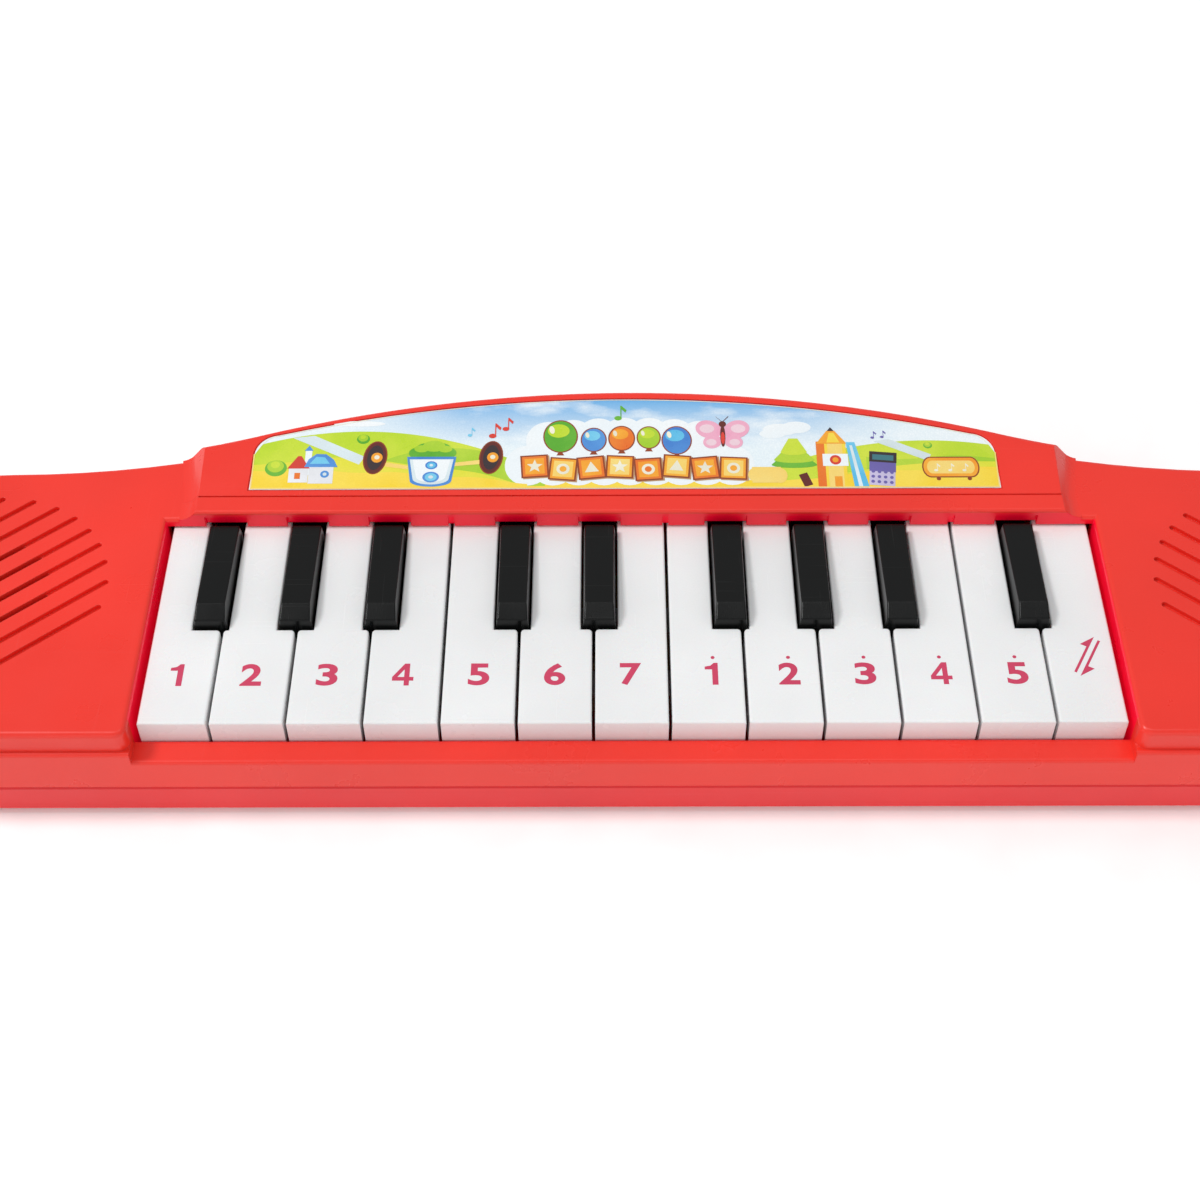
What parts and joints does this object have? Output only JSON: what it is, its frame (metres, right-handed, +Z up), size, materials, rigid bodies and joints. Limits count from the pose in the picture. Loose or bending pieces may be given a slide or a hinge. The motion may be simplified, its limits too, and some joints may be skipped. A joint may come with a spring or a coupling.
{
  "type": "toy electronic keyboard",
  "caption": "Toy electronic keyboard: red moulded case with round speaker ends, arched header with a printed label, hinged white and black keys.",
  "frame": {"origin": "on the support plane under the rubber feet, below the middle of the case", "axes": "+X along the keyboard towards the high notes, +Y from the player to the arched back, +Z up"},
  "size_m": [0.3592, 0.0972, 0.0324],
  "materials": {
    "upper_case_plastic": "moulded, polished",
    "lower_case_plastic": "moulded, polished",
    "printed_label": "printed film with a clear face",
    "steel": "zinc plated",
    "circuit_board": "paper board with solder mask",
    "contact_rubber": "moulded silicone",
    "chip_resin": "poured resin",
    "component_bodies": "moulded",
    "speaker_steel": "pressed, plated",
    "speaker_paper": "pressed paper",
    "magnet": "sintered",
    "clamp_plastic": "moulded",
    "cell_jacket": "printed jacket over steel can",
    "contact_metal": "nickel plated",
    "switch_body": "pressed",
    "switch_knob_plastic": "moulded",
    "wire_red": "insulated wire",
    "wire_black": "insulated wire",
    "foot_rubber": "moulded",
    "white_key_plastic": "moulded, polished",
    "black_key_plastic": "moulded, polished"
  },
  "bodies": {
    "case": {"top_case": "upper_case_plastic", "bottom_case": "lower_case_plastic", "header_label": "printed_label", "key_pivot_rod": "steel", "main_circuit_board": "circuit_board", "white_key_domes": "contact_rubber", "black_key_domes": "contact_rubber", "sound_chip": "chip_resin", "board_components": "component_bodies", "case_screws": "steel", "board_screws": "steel", "speaker_frame": "speaker_steel", "speaker_cone": "speaker_paper", "speaker_magnet": "magnet", "speaker_clamp_ring": "clamp_plastic", "speaker_screws": "steel", "batteries": "cell_jacket", "battery_contacts": "contact_metal", "battery_springs": "contact_metal", "battery_door": "lower_case_plastic", "battery_door_screw": "steel", "power_switch": "switch_body", "speaker_leads": "wire_red", "battery_lead_positive": "wire_red", "battery_lead_negative": "wire_black", "switch_leads": "wire_black", "rubber_feet": "foot_rubber"},
    "white_key_01": {"white_key_01": "white_key_plastic"},
    "white_key_02": {"white_key_02": "white_key_plastic"},
    "white_key_03": {"white_key_03": "white_key_plastic"},
    "white_key_04": {"white_key_04": "white_key_plastic"},
    "white_key_05": {"white_key_05": "white_key_plastic"},
    "white_key_06": {"white_key_06": "white_key_plastic"},
    "white_key_07": {"white_key_07": "white_key_plastic"},
    "white_key_08": {"white_key_08": "white_key_plastic"},
    "white_key_09": {"white_key_09": "white_key_plastic"},
    "white_key_10": {"white_key_10": "white_key_plastic"},
    "white_key_11": {"white_key_11": "white_key_plastic"},
    "white_key_12": {"white_key_12": "white_key_plastic"},
    "white_key_13": {"white_key_13": "white_key_plastic"},
    "black_key_01": {"black_key_01": "black_key_plastic"},
    "black_key_02": {"black_key_02": "black_key_plastic"},
    "black_key_03": {"black_key_03": "black_key_plastic"},
    "black_key_04": {"black_key_04": "black_key_plastic"},
    "black_key_05": {"black_key_05": "black_key_plastic"},
    "black_key_06": {"black_key_06": "black_key_plastic"},
    "black_key_07": {"black_key_07": "black_key_plastic"},
    "black_key_08": {"black_key_08": "black_key_plastic"},
    "black_key_09": {"black_key_09": "black_key_plastic"},
    "switch_knob": {"switch_knob": "switch_knob_plastic"}
  },
  "joints": [
    {"name": "white_key_01_press", "type": "hinge", "parent": "case", "child": "white_key_01", "pos_m": [0, 0.0234, 0.0195], "axis": [1, 0, 0], "range_deg": [0, 2.9], "stiffness_Nm_per_rad": 0.3, "springref_deg": -2.86, "deforming": ["white_key_domes"]},
    {"name": "white_key_02_press", "type": "hinge", "parent": "case", "child": "white_key_02", "pos_m": [0, 0.0234, 0.0195], "axis": [1, 0, 0], "range_deg": [0, 2.9], "stiffness_Nm_per_rad": 0.3, "springref_deg": -2.86, "deforming": ["white_key_domes"]},
    {"name": "white_key_03_press", "type": "hinge", "parent": "case", "child": "white_key_03", "pos_m": [0, 0.0234, 0.0195], "axis": [1, 0, 0], "range_deg": [0, 2.9], "stiffness_Nm_per_rad": 0.3, "springref_deg": -2.86, "deforming": ["white_key_domes"]},
    {"name": "white_key_04_press", "type": "hinge", "parent": "case", "child": "white_key_04", "pos_m": [0, 0.0234, 0.0195], "axis": [1, 0, 0], "range_deg": [0, 2.9], "stiffness_Nm_per_rad": 0.3, "springref_deg": -2.86, "deforming": ["white_key_domes"]},
    {"name": "white_key_05_press", "type": "hinge", "parent": "case", "child": "white_key_05", "pos_m": [0, 0.0234, 0.0195], "axis": [1, 0, 0], "range_deg": [0, 2.9], "stiffness_Nm_per_rad": 0.3, "springref_deg": -2.86, "deforming": ["white_key_domes"]},
    {"name": "white_key_06_press", "type": "hinge", "parent": "case", "child": "white_key_06", "pos_m": [0, 0.0234, 0.0195], "axis": [1, 0, 0], "range_deg": [0, 2.9], "stiffness_Nm_per_rad": 0.3, "springref_deg": -2.86, "deforming": ["white_key_domes"]},
    {"name": "white_key_07_press", "type": "hinge", "parent": "case", "child": "white_key_07", "pos_m": [0, 0.0234, 0.0195], "axis": [1, 0, 0], "range_deg": [0, 2.9], "stiffness_Nm_per_rad": 0.3, "springref_deg": -2.86, "deforming": ["white_key_domes"]},
    {"name": "white_key_08_press", "type": "hinge", "parent": "case", "child": "white_key_08", "pos_m": [0, 0.0234, 0.0195], "axis": [1, 0, 0], "range_deg": [0, 2.9], "stiffness_Nm_per_rad": 0.3, "springref_deg": -2.86, "deforming": ["white_key_domes"]},
    {"name": "white_key_09_press", "type": "hinge", "parent": "case", "child": "white_key_09", "pos_m": [0, 0.0234, 0.0195], "axis": [1, 0, 0], "range_deg": [0, 2.9], "stiffness_Nm_per_rad": 0.3, "springref_deg": -2.86, "deforming": ["white_key_domes"]},
    {"name": "white_key_10_press", "type": "hinge", "parent": "case", "child": "white_key_10", "pos_m": [0, 0.0234, 0.0195], "axis": [1, 0, 0], "range_deg": [0, 2.9], "stiffness_Nm_per_rad": 0.3, "springref_deg": -2.86, "deforming": ["white_key_domes"]},
    {"name": "white_key_11_press", "type": "hinge", "parent": "case", "child": "white_key_11", "pos_m": [0, 0.0234, 0.0195], "axis": [1, 0, 0], "range_deg": [0, 2.9], "stiffness_Nm_per_rad": 0.3, "springref_deg": -2.86, "deforming": ["white_key_domes"]},
    {"name": "white_key_12_press", "type": "hinge", "parent": "case", "child": "white_key_12", "pos_m": [0, 0.0234, 0.0195], "axis": [1, 0, 0], "range_deg": [0, 2.9], "stiffness_Nm_per_rad": 0.3, "springref_deg": -2.86, "deforming": ["white_key_domes"]},
    {"name": "white_key_13_press", "type": "hinge", "parent": "case", "child": "white_key_13", "pos_m": [0, 0.0234, 0.0195], "axis": [1, 0, 0], "range_deg": [0, 2.9], "stiffness_Nm_per_rad": 0.3, "springref_deg": -2.86, "deforming": ["white_key_domes"]},
    {"name": "black_key_01_press", "type": "hinge", "parent": "case", "child": "black_key_01", "pos_m": [0, 0.0234, 0.0195], "axis": [1, 0, 0], "range_deg": [0, 3.8], "stiffness_Nm_per_rad": 0.3, "springref_deg": -2.86, "deforming": ["black_key_domes"]},
    {"name": "black_key_02_press", "type": "hinge", "parent": "case", "child": "black_key_02", "pos_m": [0, 0.0234, 0.0195], "axis": [1, 0, 0], "range_deg": [0, 3.8], "stiffness_Nm_per_rad": 0.3, "springref_deg": -2.86, "deforming": ["black_key_domes"]},
    {"name": "black_key_03_press", "type": "hinge", "parent": "case", "child": "black_key_03", "pos_m": [0, 0.0234, 0.0195], "axis": [1, 0, 0], "range_deg": [0, 3.8], "stiffness_Nm_per_rad": 0.3, "springref_deg": -2.86, "deforming": ["black_key_domes"]},
    {"name": "black_key_04_press", "type": "hinge", "parent": "case", "child": "black_key_04", "pos_m": [0, 0.0234, 0.0195], "axis": [1, 0, 0], "range_deg": [0, 3.8], "stiffness_Nm_per_rad": 0.3, "springref_deg": -2.86, "deforming": ["black_key_domes"]},
    {"name": "black_key_05_press", "type": "hinge", "parent": "case", "child": "black_key_05", "pos_m": [0, 0.0234, 0.0195], "axis": [1, 0, 0], "range_deg": [0, 3.8], "stiffness_Nm_per_rad": 0.3, "springref_deg": -2.86, "deforming": ["black_key_domes"]},
    {"name": "black_key_06_press", "type": "hinge", "parent": "case", "child": "black_key_06", "pos_m": [0, 0.0234, 0.0195], "axis": [1, 0, 0], "range_deg": [0, 3.8], "stiffness_Nm_per_rad": 0.3, "springref_deg": -2.86, "deforming": ["black_key_domes"]},
    {"name": "black_key_07_press", "type": "hinge", "parent": "case", "child": "black_key_07", "pos_m": [0, 0.0234, 0.0195], "axis": [1, 0, 0], "range_deg": [0, 3.8], "stiffness_Nm_per_rad": 0.3, "springref_deg": -2.86, "deforming": ["black_key_domes"]},
    {"name": "black_key_08_press", "type": "hinge", "parent": "case", "child": "black_key_08", "pos_m": [0, 0.0234, 0.0195], "axis": [1, 0, 0], "range_deg": [0, 3.8], "stiffness_Nm_per_rad": 0.3, "springref_deg": -2.86, "deforming": ["black_key_domes"]},
    {"name": "black_key_09_press", "type": "hinge", "parent": "case", "child": "black_key_09", "pos_m": [0, 0.0234, 0.0195], "axis": [1, 0, 0], "range_deg": [0, 3.8], "stiffness_Nm_per_rad": 0.3, "springref_deg": -2.86, "deforming": ["black_key_domes"]},
    {"name": "power_switch_slide", "type": "slide", "parent": "case", "child": "switch_knob", "axis": [1, 0, 0], "range_m": [0, 0.004]}
  ]
}
